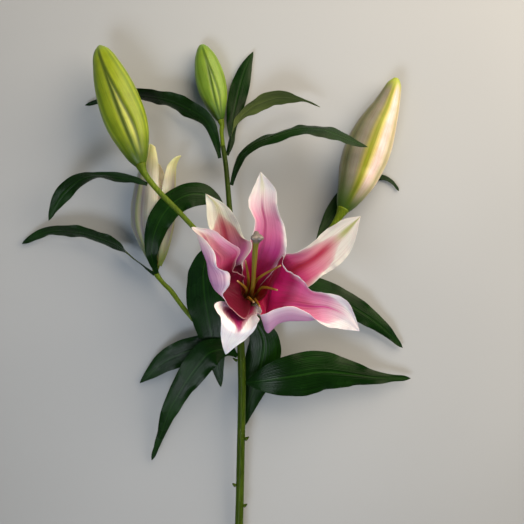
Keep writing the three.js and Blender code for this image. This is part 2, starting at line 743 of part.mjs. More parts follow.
leaf('leaf_lower_right', [
  [...besideStem(-114, 25, 0.8), 2.2, 0],
  [-5, -112, 33, 8.5, 0],
  [12, -109, 37, 16.5, -5],
  [33, -106, 37, 20.5, -8],
  [54, -103, 33.5, 20, -8],
  [78, -105, 27.5, 14, -5],
  [108, -110, 19, 6.5, 0],
  [142, -112, 9, 0.8, 0],
]);

leaf('leaf_behind_stem', [
  [...besideStem(-46, -40, 1.0), 2.2, 0],
  [-6, -58, 20, 8, 0],
  [2, -76, 17, 15, 0],
  [0, -96, 14, 17, 0],
  [-7, -118, 11, 13.5, 0],
  [-13, -139, 8, 7.5, 0],
  [-17, -158, 5, 0.8, 0],
]);

leaf('leaf_right_behind', [
  [...besideStem(-24, -35, 0.5), 2.2, 0],
  [-4, -24, 24, 8, 0],
  [20, -24, 23.5, 13, 0],
  [45, -27, 22.5, 14, 0],
  [73, -36, 20, 12, 0],
  [98, -50, 16, 9.5, 0],
  [118, -65, 11, 6, 0],
  [135, -82, 6, 0.8, 0],
]);

leaf('leaf_right_bud', [
  [52, 19.4, 29, 1.8, 0],
  [60, 36, 21, 4.5, 0],
  [72, 53, 11.5, 8, 0],
  [86, 66, 5.5, 9.5, 0],
  [103, 78.5, 3.6, 5, 0],
  [118, 82, 3.4, 2.6, 0],
  [126, 77.8, 3.2, 1.9, 0],
  [132, 70, 3, 0.8, 0],
]);

// ---------- resting place ----------

// The origin is the middle of the footprint, at the lowest point of the object.
lily.updateMatrixWorld(true);
const extent = new THREE.Box3().setFromObject(lily, true);
const centre = extent.getCenter(new THREE.Vector3());
lily.position.set(-centre.x, -centre.y, -extent.min.z);

export default lily;
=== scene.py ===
"""Looks of a cut oriental lily that lies on a pale table with its open flower facing up.

Lengths are in metres in the frame's own axes: +Y runs along the main stem from its cut end to the
top bud, and +Z is up. Sizes of surface patterns are in millimetres.
"""

import math
import zlib

import bmesh
import bpy
import numpy as np
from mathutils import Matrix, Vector
from mathutils.bvhtree import BVHTree


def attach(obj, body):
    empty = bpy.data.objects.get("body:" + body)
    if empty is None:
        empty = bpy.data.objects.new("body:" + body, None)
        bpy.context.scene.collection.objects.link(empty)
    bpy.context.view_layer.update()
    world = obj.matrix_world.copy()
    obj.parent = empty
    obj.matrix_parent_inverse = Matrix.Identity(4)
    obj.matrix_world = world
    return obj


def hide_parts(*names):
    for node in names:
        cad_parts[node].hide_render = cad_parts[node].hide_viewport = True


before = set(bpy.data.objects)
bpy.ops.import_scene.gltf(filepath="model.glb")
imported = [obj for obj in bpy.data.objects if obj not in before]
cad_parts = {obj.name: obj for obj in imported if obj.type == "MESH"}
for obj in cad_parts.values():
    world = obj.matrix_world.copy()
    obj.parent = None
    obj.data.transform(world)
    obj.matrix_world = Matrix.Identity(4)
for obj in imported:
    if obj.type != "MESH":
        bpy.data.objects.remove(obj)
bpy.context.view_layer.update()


# ---------- camera and studio ----------
# The camera looks straight down on the flower. A wide soft light stands at the upper right, a
# cooler one at the left fills its shadows, and a small weak one in front lifts the flower's face.
# The table is smooth painted board.

METRE = 1000  # in mm: a pattern with a grain of N mm has the scale METRE / N
EYE = Vector((0.0444, 0.0957, 0.9198))
TABLE_SIZE = 6.0
LIT_POINT = Vector((0.04, 0.06, 0.1))
LIGHTS = {  # place, size, watts, spread in degrees, colour
    "key": ((0.65, 0.7, 0.65), 1.3, 26, 180, "#ffe8d0"),
    "fill": ((-1.0, 0.5, 1.2), 1.4, 1.6, 180, "#b8d4ff"),
    "front": ((-0.3, -0.6, 1.1), 0.5, 0.75, 50, "#eef2ff"),
}


def linear(hex_colour):
    """An sRGB hex colour as linear red, green, blue and alpha."""
    channels = [int(hex_colour[i:i + 2], 16) / 255 for i in (1, 3, 5)]
    return (*[c / 12.92 if c <= 0.04045 else ((c + 0.055) / 1.055) ** 2.4 for c in channels], 1)


def put(tree, kind, settings=None, links=None):
    """Adds a node, with its settings and what feeds its inputs: sockets, or nodes' first ones."""
    node = tree.nodes.new("ShaderNode" + kind)
    for name, value in (settings or {}).items():
        if name == "stops":
            elements = node.color_ramp.elements
            while len(elements) < len(value):
                elements.new(0.5)
            for element, (place, colour) in zip(elements, value):
                element.position = place
                element.color = linear(colour)
        elif isinstance(name, int) or name in node.inputs:
            is_colour = isinstance(value, str)
            node.inputs[name].default_value = linear(value) if is_colour else value
        else:
            setattr(node, name, value)
    for name, source in (links or {}).items():
        socket = source.outputs[0] if isinstance(source, bpy.types.Node) else source
        tree.links.new(socket, node.inputs[name])
    return node


def new_material(name):
    """A material and its node tree, still empty."""
    material = bpy.data.materials.new(name)
    material.use_nodes = True
    tree = material.node_tree
    tree.nodes.clear()
    return material, tree


def finish_material(material, settings, links):
    """Gives a material its shader, with the shader's settings and what feeds it."""
    shader = put(material.node_tree, "BsdfPrincipled", settings, links)
    put(material.node_tree, "OutputMaterial", links={"Surface": shader})
    return material


def painted_board():
    """Painted board: matt, pale cool grey, with a roller's faint unevenness 6 mm across."""
    material, tree = new_material("painted_board")
    place = put(tree, "TexCoord").outputs["Object"]
    roller = put(tree, "TexNoise", {"Scale": METRE / 5.56, "Detail": 3}, {"Vector": place})
    clouds = put(tree, "TexNoise", {"Scale": METRE / 400, "Detail": 2}, {"Vector": place})
    colour = put(
        tree, "ValToRGB", {"stops": [(0.3, "#a5acae"), (0.7, "#adb4b6")]}, {"Fac": clouds},
    )
    bump = put(tree, "Bump", {"Strength": 0.1, "Distance": 0.0004}, {"Height": roller})
    return finish_material(material, {"Roughness": 0.75}, {"Base Color": colour, "Normal": bump})


def studio():
    """Camera, table, lights and surrounding."""
    scene = bpy.context.scene
    lens = bpy.data.cameras.new("camera")
    lens.lens = 65
    lens.sensor_width = 36
    lens.clip_start = 0.01
    camera = bpy.data.objects.new("camera", lens)
    camera.location = EYE
    scene.collection.objects.link(camera)
    scene.camera = camera

    half = TABLE_SIZE / 2
    corners = [(-half, -half, 0), (half, -half, 0), (half, half, 0), (-half, half, 0)]
    board = bpy.data.meshes.new("table")
    board.from_pydata(corners, [], [(0, 1, 2, 3)])
    board.materials.append(painted_board())
    table = bpy.data.objects.new("table", board)
    scene.collection.objects.link(table)

    for name, (place, size, power, spread, colour) in LIGHTS.items():
        lamp = bpy.data.lights.new(name, "AREA")
        lamp.size = size
        lamp.spread = math.radians(spread)
        lamp.energy = power
        lamp.color = linear(colour)[:3]
        light = bpy.data.objects.new(name, lamp)
        light.location = place
        aim = LIT_POINT - light.location
        light.rotation_euler = aim.to_track_quat("-Z", "Y").to_euler()
        scene.collection.objects.link(light)

    world = bpy.data.worlds.new("room")
    world.use_nodes = True
    surround = world.node_tree.nodes["Background"]
    surround.inputs["Color"].default_value = linear("#d8e6f4")
    surround.inputs["Strength"].default_value = 0.15
    scene.world = world
    scene.view_settings.view_transform = "Standard"


studio()


# ---------- main stem and leaf stubs ----------
# The stem is firm and fleshy, with faint lengthwise ridges and small pale breathing pores. Short
# stubs are left where its lower leaves were pulled off. All grew as one plant, so the stubs are
# let into the stem.

STEM_SIDES = 40
STEM_RIDGES = 9
RIDGE_HEIGHT = 0.00007
RIDGE_WANDER = 0.19
STUB_RIDGES = 5
STUB_RELIEF = 0.00005


def through(knots, rows, places):
    """A smooth curve through rows, which lie at the knots, read at the given places."""
    knots = np.asarray(knots, float)
    flat = (-1, *[1] * (rows.ndim - 1))
    steps = np.diff(knots).reshape(flat)
    rises = np.diff(rows, axis=0) / steps
    inner = (rises[:-1] * steps[1:] + rises[1:] * steps[:-1]) / (steps[1:] + steps[:-1])
    slopes = np.concatenate([rises[:1], inner, rises[-1:]])
    k = np.clip(np.searchsorted(knots, places, side="right") - 1, 0, len(knots) - 2)
    step = steps[k]
    f = (np.asarray(places) - knots[k]).reshape(flat) / step
    start, rise = rows[k], rows[k + 1] - rows[k]
    first, last = slopes[k] * step, slopes[k + 1] * step
    square = 3 * rise - 2 * first - last
    cube = first + last - 2 * rise
    return start + f * (first + f * (square + f * cube))


def organ_rings(node, ring_size, grows_from):
    """The cross-sections of a grown piece, from base to tip, and its tip point.

    Each piece is a row of rings of ring_size points, with a fan of faces at both ends, and its
    base is the end nearer to the node that it grows from. A fan's middle point has as many edges
    as a ring has points, and each point round it has five. The rings are met one after another
    on the way from one fan to the other.
    """
    welded = bmesh.new()
    welded.from_mesh(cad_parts[node].data)
    bmesh.ops.remove_doubles(welded, verts=welded.verts, dist=1e-6)
    welded.verts.index_update()
    parent = bmesh.new()
    parent.from_mesh(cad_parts[grows_from].data)
    parent_skin = BVHTree.FromBMesh(parent)
    parent.free()

    def around(vertex):
        return {edge.other_vert(vertex) for edge in vertex.link_edges}

    def from_parent(vertex):
        return parent_skin.find_nearest(vertex.co)[3]

    def rings_outward(base, side):
        layer = around(base)
        start = min(layer, key=lambda v: v.index)
        ring = [start, min(around(start) & layer, key=lambda v: v.index)]
        while len(ring) < ring_size:
            ring.append((around(ring[-1]) & layer - set(ring)).pop())
        rings = [ring]
        seen = {base} | layer
        while len(seen) < len(welded.verts) - 1:
            layer = set().union(*[around(v) for v in ring]) - seen
            neighbours = ring[side:] + ring[:side]
            ring = [(around(v) & around(w) & layer).pop() for v, w in zip(ring, neighbours)]
            rings.append(ring)
            seen |= layer
        return np.array([[v.co[:] for v in ring] for ring in rings])

    fans = [
        v for v in welded.verts
        if len(v.link_edges) == ring_size and all(len(w.link_edges) == 5 for w in around(v))
    ]
    base, tip = sorted(fans, key=from_parent)
    choices = [rings_outward(base, side) for side in (-1, 1)]
    steps = [np.linalg.norm(np.diff(rings, axis=0), axis=2).sum() for rings in choices]
    points = choices[steps.index(min(steps))]
    tip_point = np.array(tip.co[:])
    welded.free()
    return points, tip_point


def arc_shares(points):
    """How far along the row of points each one lies, from 0 to 1."""
    lengths = np.linalg.norm(np.diff(points, axis=0), axis=1)
    return np.concatenate([[0], np.cumsum(lengths)]) / lengths.sum()


def normalised(vectors):
    """The vectors with their length made 1."""
    return vectors / np.linalg.norm(vectors, axis=-1, keepdims=True)


def grown_piece(name, rings, tip, around, along, materials, second_from=None):
    """A closed mesh through rings of points, with a map that runs around and along it.

    around gives each ring point's place in the map, with one more value where the ring closes.
    Faces from ring point second_from on take the second material.
    """
    count, size = rings.shape[:2]
    base = rings[0].mean(axis=0)
    points = np.concatenate([rings.reshape(-1, 3), [base, tip]])
    k, j = np.meshgrid(np.arange(count - 1), np.arange(size), indexing="ij")
    k, j = k.ravel(), j.ravel()
    following = (j + 1) % size
    quads = np.stack(
        [k * size + j, k * size + following, (k + 1) * size + following, (k + 1) * size + j],
        axis=1,
    )
    ends = np.arange(size)
    after = (ends + 1) % size
    last = (count - 1) * size
    base_fan = np.stack([np.full(size, count * size), after, ends], axis=1)
    tip_fan = np.stack([np.full(size, count * size + 1), last + ends, last + after], axis=1)

    def on_map(*corners):
        rows = [np.stack(np.broadcast_arrays(*corner), axis=1) for corner in corners]
        return np.stack(rows, axis=1)

    quad_map = on_map(
        (around[j], along[k]), (around[j + 1], along[k]),
        (around[j + 1], along[k + 1]), (around[j], along[k + 1]),
    )
    middle = (around[:-1] + around[1:]) / 2
    base_map = on_map((middle, 0.0), (around[1:], 0.0), (around[:-1], 0.0))
    tip_map = on_map((middle, 1.0), (around[:-1], 1.0), (around[1:], 1.0))
    faces = quads.tolist() + base_fan.tolist() + tip_fan.tolist()
    a, b, c = points[quads[:, 0]], points[quads[:, 1]], points[quads[:, 2]]
    if (a * np.cross(b, c)).sum() < 0:
        faces = [face[::-1] for face in faces]
        quad_map, base_map, tip_map = quad_map[:, ::-1], base_map[:, ::-1], tip_map[:, ::-1]
    mesh = bpy.data.meshes.new(name)
    mesh.from_pydata(points.tolist(), [], faces)
    layer = mesh.uv_layers.new(name="skin")
    places = np.concatenate([m.reshape(-1, 2) for m in (quad_map, base_map, tip_map)])
    layer.data.foreach_set("uv", places.ravel().astype(np.float32))
    for material in materials:
        mesh.materials.append(material)
    if second_from is not None:
        sides = np.concatenate([j, ends, ends]) >= second_from
        mesh.polygons.foreach_set("material_index", sides.astype(np.int32))
    mesh.shade_smooth()
    piece = bpy.data.objects.new(name, mesh)
    bpy.context.scene.collection.objects.link(piece)
    return piece


def round_organ(node, grows_from, ring_size, sides, spacing, relief, material, root=0, name=""):
    """A stalk finer than the frame's own: relief(angle, along, length) raises its skin.

    root is how far its base is let into the piece that it grows from.
    """
    rings, tip = organ_rings(node, ring_size, grows_from)
    middles = rings.mean(axis=1)
    if root:
        backward = normalised(middles[0] - middles[1]) * root
        rings = np.concatenate([rings[:1] + backward, rings])
        middles = rings.mean(axis=1)
    closed = np.concatenate([rings[:, -2:], rings, rings[:, :3]], axis=1).transpose(1, 0, 2)
    turn = np.arange(sides) / sides
    knots = np.arange(-2, ring_size + 3) / ring_size
    smooth = through(knots, closed, turn).transpose(1, 0, 2)
    length = np.linalg.norm(np.diff(middles, axis=0), axis=1).sum()
    along = np.linspace(0, 1, max(int(length / spacing), 8))
    fine = through(arc_shares(middles), smooth, along)
    outward = normalised(fine - fine.mean(axis=1, keepdims=True))
    height = relief(2 * np.pi * turn[None, :], along[:, None], length)
    fine = fine + outward * height[..., None]
    around = np.arange(sides + 1) / sides
    piece = grown_piece(name or node + "_skin", fine, tip, around, along, [material])
    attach(piece, "root")
    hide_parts(node)
    return piece


def fleshy_stem(name, shade, middle, light, pore_gap):
    """Fleshy stem skin: satin from its wax, with pale pores and streaks 1 mm wide, 17 mm long.

    pore_gap is the distance between pores in mm.
    """
    material, tree = new_material(name)
    place = put(tree, "TexCoord").outputs["Object"]
    streak = (METRE / 1.11, METRE / 16.7, METRE / 1.11)
    stretched = put(tree, "Mapping", {"Scale": streak}, {"Vector": place})
    streaks = put(tree, "TexNoise", {"Scale": 1, "Detail": 4}, {"Vector": stretched})
    patches = put(tree, "TexNoise", {"Scale": METRE / 45.5, "Detail": 2}, {"Vector": place})
    half_streaks = put(tree, "Math", {"operation": "MULTIPLY", 1: 0.5}, {0: streaks})
    mixed = put(tree, "Math", {"operation": "MULTIPLY_ADD", 1: 0.5}, {0: patches, 2: half_streaks})
    green = put(
        tree, "ValToRGB", {"stops": [(0.34, shade), (0.5, middle), (0.66, light)]}, {"Fac": mixed},
    )
    drawn_out = put(tree, "Mapping", {"Scale": (1, 0.35, 1)}, {"Vector": place})
    pores = put(tree, "TexVoronoi", {"Scale": METRE / pore_gap}, {"Vector": drawn_out})
    pore = put(
        tree, "MapRange", {"From Min": 0.16, "From Max": 0.08, "To Max": 0.22}, {"Value": pores},
    )
    colour = put(tree, "Mix", {"data_type": "RGBA", 7: "#a9b87a"}, {0: pore, 6: green})
    bump = put(tree, "Bump", {"Strength": 0.35, "Distance": 0.0003}, {"Height": streaks})
    return finish_material(
        material,
        {"Roughness": 0.42, "Specular IOR Level": 0.12, "Subsurface Weight": 0.08,
         "Subsurface Scale": 0.002},
        {"Base Color": colour.outputs[2], "Normal": bump},
    )


stem_skin = fleshy_stem("fleshy_stem", "#1e2e02", "#2f4305", "#42580e", pore_gap=2.2)


def stem_relief(angle, along, length):
    """Lengthwise ridges that wander slowly round the stem."""
    wander = 0.5 * np.sin(2 * np.pi * along * length / RIDGE_WANDER)
    return RIDGE_HEIGHT * np.cos(STEM_RIDGES * angle + wander)


# the cut end is the one nearer to the lowest stub
main_stem = round_organ(
    "main_stem", "leaf_stub_lowest", ring_size=10, sides=STEM_SIDES, spacing=0.003,
    relief=stem_relief, material=stem_skin, name="stem",
)

for node in ("leaf_stub_lowest", "leaf_stub_left", "leaf_stub_right", "bract_scale"):
    stub = round_organ(
        node, "main_stem", ring_size=6, sides=18, spacing=0.0003, root=0.0008,
        relief=lambda angle, along, _: STUB_RELIEF * np.cos(STUB_RIDGES * angle) * (1 - along),
        material=stem_skin,
    )


# ---------- pedicels ----------
# Each flower and bud hangs on its own pedicel, a smooth round stalk that widens into the seat of
# the flower. It is a fresher green than the stem and has the same satin skin.

PEDICEL_SIDES = 28
PEDICEL_RIDGES = 7
PEDICEL_RIDGE_HEIGHT = 0.6 * RIDGE_HEIGHT
PEDICEL_TWIST = 3
PEDICEL_RING_SIZES = {
    "pedicel_left_bud": 8, "pedicel_opening_bud": 8, "pedicel_right_bud": 8,
    "pedicel_top_bud": 8, "pedicel_flower": 12,
}

pedicel_skin = fleshy_stem("fleshy_pedicel", "#3e520a", "#546a12", "#6c841e", pore_gap=1.6)

for node, ring_size in PEDICEL_RING_SIZES.items():
    stalk = round_organ(
        node, "main_stem", ring_size, sides=PEDICEL_SIDES, spacing=0.0015, root=0.0012,
        relief=lambda angle, along, _: PEDICEL_RIDGE_HEIGHT * np.cos(
            PEDICEL_RIDGES * angle + PEDICEL_TWIST * along
        ),
        material=pedicel_skin,
    )


# ---------- closed buds ----------
# In a closed bud three outer tepals wrap three inner ones. They meet in thin seams near the tip,
# and lower down part to show the inner ones' keels. The waxy skin turns cream as it ripens.

BUD_SIDES = 144
BUD_ROWS = 150
BUD_RING_SIZE = 18
BUD_SIZE = (110, 120)  # girth and length in mm
SMOOTH = {"interpolation_type": "SMOOTHSTEP"}
SEAM_CLOSED = 0.015
SEAM_OPENS = 0.74
SEAM_OPEN = 0.22


def bell(x, width):
    """A smooth hump: 1 where x is 0, a third where x is the width, and next to 0 at twice that."""
    return np.exp(-(x / width) ** 2)


def bud_section(turn, along, seam_gap):
    """The reach of a closed bud's skin: 1 on the flanks, less in the seams, more at both ends.

    turn is 0 and 1 in the middle of an inner tepal's keel and 0.5 on an outer tepal's rib, and
    seam_gap is how far from the keel the seams lie where they are open.
    """
    from_keel = np.minimum(turn, 1 - turn)
    opened = np.clip((SEAM_OPENS - along) / (SEAM_OPENS - SEAM_OPEN), 0, 1)
    gap = SEAM_CLOSED + (seam_gap - SEAM_CLOSED) * opened
    fade = np.sin(np.pi * np.clip(along, 0.02, 0.98)) ** 0.6
    seam_width = 0.04 + 0.2 * seam_gap * opened
    seam_depth = 0.035 + 0.3 * seam_gap * opened
    seam = bell(from_keel - gap, seam_width) * seam_depth
    keel = bell(from_keel, 0.05) * 0.2 * seam_gap * opened
    rib = bell(turn - 0.5, 0.06) * 0.012
    flank = (1 - np.cos(2 * np.pi * (turn - 0.5))) * 0.018
    blunt = 0.07 * bell(along - 0.04, 0.06) + 0.13 * bell(along - 0.97, 0.04)
    return 1 - fade * (seam + flank - keel - rib) + blunt


def skin_material(name):
    """A material on its piece's skin map: its tree, the map, and the ways across and along it."""
    material, tree = new_material(name)
    place = put(tree, "UVMap", {"uv_map": "skin"})
    parts = put(tree, "SeparateXYZ", links={"Vector": place})
    return material, tree, place, parts.outputs["X"], parts.outputs["Y"]


def fibres_along(tree, place, size, grain, detail=3, roughness=0.5):
    """Noise drawn out along a piece: the piece's girth and length, and the noise's, are in mm."""
    scale = (size[0] / grain[0], size[1] / grain[1], 1)
    mapped = put(tree, "Mapping", {"Scale": scale}, {"Vector": place})
    return put(
        tree, "TexNoise", {"Scale": 1, "Detail": detail, "Roughness": roughness},
        {"Vector": mapped},
    )


def frayed(tree, value, noise, amount):
    """A value that a noise moves up and down, by up to half the amount."""
    centred = put(tree, "Math", {"operation": "SUBTRACT", 1: 0.5}, {0: noise})
    return put(tree, "Math", {"operation": "MULTIPLY_ADD", 1: amount}, {0: centred, 2: value})


def darkened(tree, colour, pattern, start, full, share, by, **how):
    """A colour multiplied by another where a pattern goes from start to full."""
    there = put(
        tree, "MapRange", {"From Min": start, "From Max": full, "To Max": share, **how},
        {"Value": pattern},
    )
    return put(
        tree, "Mix", {"data_type": "RGBA", "blend_type": "MULTIPLY", 7: by}, {0: there, 6: colour},
    ).outputs[2]


def with_ends(tree, colour, along, *ends):
    """A colour turned to others at a piece's ends, each a colour, start, full place and share."""
    for end_colour, start, full, share in ends:
        near = put(
            tree, "MapRange", {"From Min": start, "From Max": full, "To Max": share, **SMOOTH},
            {"Value": along},
        )
        colour = put(
            tree, "Mix", {"data_type": "RGBA", 7: end_colour}, {0: near, 6: colour},
        ).outputs[2]
    return colour


def waxy_bud(name, seam_gap, keel, seam, margin, flank, beside_rib, rib, base_end, tip_end, streak,
             shade="#ffffff"):
    """Waxy bud skin: satin, with fibres 1 mm apart, coloured across each tepal and to its ends.

    shade multiplies the colour round one keel, on the side away from the light: painted shade.
    """
    material, tree, place, across, along = skin_material(name)
    fibres = fibres_along(tree, place, BUD_SIZE, (1, 24))
    in_space = put(tree, "TexCoord").outputs["Object"]
    cloudy = put(tree, "TexNoise", {"Scale": METRE / 11.1, "Detail": 3}, {"Vector": in_space})
    tripled = put(tree, "Math", {"operation": "MULTIPLY", 1: 3.0}, {0: across})
    from_keel = put(
        tree, "Math", {"operation": "PINGPONG", 1: 0.5}, {0: frayed(tree, tripled, fibres, 0.05)},
    )
    gap = put(
        tree, "MapRange",
        {"From Min": SEAM_OPENS, "From Max": SEAM_OPEN, "To Min": SEAM_CLOSED, "To Max": seam_gap},
        {"Value": along},
    )
    closed = put(
        tree, "MapRange", {"From Min": SEAM_OPEN + 0.1, "From Max": SEAM_OPENS, "To Max": 0.24},
        {"Value": along},
    )
    in_seam = put(
        tree, "MapRange", {"To Max": 0.3}, {"Value": from_keel, "From Max": gap, "To Min": closed},
    )
    on_tepal = put(
        tree, "MapRange", {"From Max": 0.5, "To Max": 0.7}, {"Value": from_keel, "From Min": gap},
    )
    tepal = put(
        tree, "ValToRGB",
        {"stops": [(0.0, keel), (0.06, keel), (0.24, seam), (0.32, seam), (0.42, margin),
                   (0.6, flank), (0.74, flank), (0.88, beside_rib), (0.96, rib)]},
        {"Fac": put(tree, "Math", {"operation": "ADD"}, {0: in_seam, 1: on_tepal})},
    )
    streaked = darkened(tree, tepal, fibres, 0.45, 0.75, 0.6, streak)
    # painted shade: the side round the first keel is multiplied by shade
    from_first_keel = put(tree, "Math", {"operation": "PINGPONG", 1: 0.5}, {0: across})
    with_painted_shade = darkened(tree, streaked, from_first_keel, 0.17, 0.12, 1, shade, **SMOOTH)
    ended = with_ends(tree, with_painted_shade, along, (base_end, 0.28, 0.0, 1), (tip_end, 0.88, 1.0, 1))
    patchy = darkened(tree, ended, cloudy, 0.4, 0.7, 0.5, "#d8dcc8")
    bump = put(tree, "Bump", {"Strength": 0.4, "Distance": 0.0003}, {"Height": fibres})
    return finish_material(
        material,
        {"Roughness": 0.4, "Specular IOR Level": 0.3, "Subsurface Weight": 0.12,
         "Subsurface Scale": 0.003, "Coat Weight": 0.04, "Coat Roughness": 0.3},
        {"Base Color": patchy, "Normal": bump},
    )


def spine_frames(middles):
    """At each point of a spine: the direction to its right, and the one above."""
    forward = normalised(np.gradient(middles, axis=0))
    right = normalised(np.cross(forward, [0, 0, 1]))
    return right, np.cross(right, forward)


def closed_bud(name, node, grows_from, keel_at_base, keel_at_tip, seam_gap, look):
    """A ripe or young bud. An inner keel lies at the given turns from the bud's right side."""
    material = waxy_bud(seam_gap=seam_gap, **look)
    rings, tip = organ_rings(node, BUD_RING_SIZE, grows_from)
    middles = rings.mean(axis=1)
    right, above = spine_frames(middles)
    from_middle = rings - middles[:, None]
    wide = np.abs(np.einsum("kjc,kc->kj", from_middle, right)).max(axis=1)
    tall = np.abs(np.einsum("kjc,kc->kj", from_middle, above)).max(axis=1)
    along = 0.5 - 0.5 * np.cos(np.pi * np.linspace(0.0, 1.0, BUD_ROWS))
    spine = np.concatenate([middles, wide[:, None], tall[:, None]], axis=1)
    fine = through(arc_shares(middles), spine, along)
    right, above = spine_frames(fine[:, :3])
    turn = np.arange(BUD_SIDES) / BUD_SIDES
    keel = keel_at_base + (keel_at_tip - keel_at_base) * along
    angle = 2 * np.pi * (turn[None, :] + keel[:, None])
    reach = bud_section(3 * turn[None, :] % 1, along[:, None], seam_gap)
    points = (
        fine[:, None, :3]
        + right[:, None] * (fine[:, 3:4] * reach * np.cos(angle))[..., None]
        + above[:, None] * (fine[:, 4:5] * reach * np.sin(angle))[..., None]
    )
    around = np.arange(BUD_SIDES + 1) / BUD_SIDES
    piece = grown_piece(name, points, tip, around, along, [material])
    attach(piece, "root")
    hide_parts(node)


closed_bud(
    "ripe_bud_left", "bud_left", "pedicel_left_bud",
    keel_at_base=0.2, keel_at_tip=0.29, seam_gap=0.13,
    look=dict(
        name="waxy_bud_full", keel="#bcc65c", seam="#4a5c16", margin="#8ea024", flank="#869a16",
        beside_rib="#66800e", rib="#8ca022", base_end="#425c08", tip_end="#7e9830", streak="#c0cc84",
    ),
)
closed_bud(
    "young_bud_top", "bud_top", "pedicel_top_bud",
    keel_at_base=0.2, keel_at_tip=0.25, seam_gap=0.12,
    look=dict(
        name="waxy_bud_young", keel="#90ac42", seam="#4a6814", margin="#7c9a30", flank="#74942a",
        beside_rib="#62821c", rib="#7c9a34", base_end="#385a0e", tip_end="#6c9038", streak="#b4c888",
    ),
)
closed_bud(
    "ripe_bud_right", "bud_right", "pedicel_right_bud",
    keel_at_base=0.4, keel_at_tip=0.42, seam_gap=0.03,
    look=dict(
        name="waxy_bud_pale", keel="#b8b68c", seam="#bab48c", margin="#d4ccac", flank="#e2d2cc",
        beside_rib="#c6be64", rib="#848e10", base_end="#3e5c14", tip_end="#98aa34",
        # shade is painted shade on the bud's left flank, away from the key light
        streak="#e4c4c0", shade="#9ca494",
    ),
)


# ---------- opening bud ----------
# The bud behind the left one has begun to open: its outer tepals part at their tips round the
# inner ones, which are still furled. They are soft, waxy, and grey-white with a green rib.
# Their outer sides' margins and flanks are painted darker grey: painted shade.

TEPAL_PLACES = (-1, -0.8, -0.5, -0.2, 0.2, 0.5, 0.8, 1)
TEPAL_FLESH = {"Subsurface Weight": 0.15, "Subsurface Scale": 0.003}
OPENING_TEPAL_SIZE = (34, 105)  # width and length in mm
OPENING_TEPAL_THICKNESS = 0.0009
MARGIN_CROWDING = 1.25  # how much closer together a blade's columns lie at its margins
LAST_ROW = 0.996  # along the blade, the rest being the fan at its tip


class Blade:
    """The middle surface of a thin leaf or tepal, sampled finely from its closed frame piece.

    upper and under are the places across, from the left margin at -1 to the right one at 1, of
    the points on its two sides. root is how far its base is let into the piece it grows from.
    A tepal's upper side is the one that looks to the heart of its flower at its base.
    """

    def __init__(self, node, grows_from, upper, under, rows, columns, root, heart=None):
        self.node = node
        size = len(upper) + len(under) - 2
        rings, self.tip = organ_rings(node, size, grows_from)
        right = len(upper) - 1

        def gap_at_margins(start):
            turned = np.roll(rings, -start, axis=1)
            left_gap = turned[:, 1] - turned[:, -1]
            right_gap = turned[:, right - 1] - turned[:, right + 1]
            return np.linalg.norm(left_gap, axis=1).sum() + np.linalg.norm(right_gap, axis=1).sum()

        rings = np.roll(rings, -min(range(size), key=gap_at_margins), axis=1)
        top = rings[:, :right + 1]
        bottom = np.concatenate([rings[:, :1], rings[:, :right - 1:-1]], axis=1)
        if heart is not None:
            face, back = top[:4].mean(axis=(0, 1)), bottom[:4].mean(axis=(0, 1))
            if (face - back) @ (heart - back) < 0:
                top, bottom = bottom, top
        across = top[:, -1] - top[:, 0]
        forward = np.gradient(top.mean(axis=1), axis=0)
        lift = top.mean(axis=1) - bottom.mean(axis=1)
        if (np.cross(across, forward) * lift).sum() < 0:
            top, bottom = top[:, ::-1], bottom[:, ::-1]

        places = np.sin(MARGIN_CROWDING * np.linspace(-1, 1, columns))
        self.across = places / math.sin(MARGIN_CROWDING)
        sides = [
            through(knots, side.transpose(1, 0, 2), self.across)
            for knots, side in ((upper, top), (under, bottom))
        ]
        middle = ((sides[0] + sides[1]) / 2).transpose(1, 0, 2)
        backward = normalised(middle[0].mean(axis=0) - middle[1].mean(axis=0)) * root
        tip_row = np.repeat(self.tip[None, None], columns, axis=1)
        middle = np.concatenate([middle[:1] + backward, middle, tip_row])
        spine = middle.mean(axis=1)
        self.length = np.linalg.norm(np.diff(spine, axis=0), axis=1).sum()
        self.along = np.linspace(0, LAST_ROW, rows)
        self.points = through(arc_shares(spine), middle, self.along)
        self.width = np.linalg.norm(np.diff(self.points, axis=1), axis=2).sum(axis=1)

    def normals(self):
        across = np.gradient(self.points, axis=1)
        forward = np.gradient(self.points, axis=0)
        return normalised(np.cross(across, forward))

    def ruffle(self, reach, wavelength, height, kind=""):
        """Waves the margins: height metres at the margin itself, fading inward over reach.

        The waves are random, but the same on every run: the node's name and kind seed them.
        """
        chance = np.random.default_rng(zlib.crc32((self.node + kind).encode()))
        path = self.along * self.length
        waves = []
        for _ in range(2):
            phase, drift, second = chance.uniform(0, 2 * np.pi, 3)
            swing = path / wavelength * 2 * np.pi + 0.9 * np.sin(path / wavelength * 2.1 + drift)
            waves.append(np.sin(swing + phase) + 0.35 * np.sin(2.3 * swing + second))
        fade = np.clip(self.along / 0.3, 0, 1) * np.clip((1 - self.along) / 0.12, 0, 1)
        sides = np.where(self.across[None, :] < 0, waves[0][:, None], waves[1][:, None])
        share = np.clip((np.abs(self.across) - 1 + reach) / reach, 0, 1) ** 2
        lift = height * sides * fade[:, None] * share[None, :]
        self.points = self.points + self.normals() * lift[..., None]

    def skinned(self, thickness, face_relief, back_relief, materials):
        """The closed blade: thickness and reliefs are metres at each row and column."""
        edge = np.sqrt(1 - np.clip(np.abs(self.across), 0, 1) ** 8)[None, :]
        normals = self.normals()
        half = thickness / 2 * edge
        face = self.points + normals * (half + face_relief * edge)[..., None]
        back = self.points - normals * (half + back_relief * edge)[..., None]
        rings = np.concatenate([
            self.points[:, :1], face[:, 1:-1], self.points[:, -1:], back[:, -2:0:-1],
        ], axis=1)
        place = (self.across + 1) / 2
        around = np.concatenate([place, place[-2::-1]])
        piece = grown_piece(
            self.node + "_skin", rings, self.tip, around, self.along, materials,
            second_from=len(place) - 1,
        )
        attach(piece, "root")
        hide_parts(self.node)
        return piece


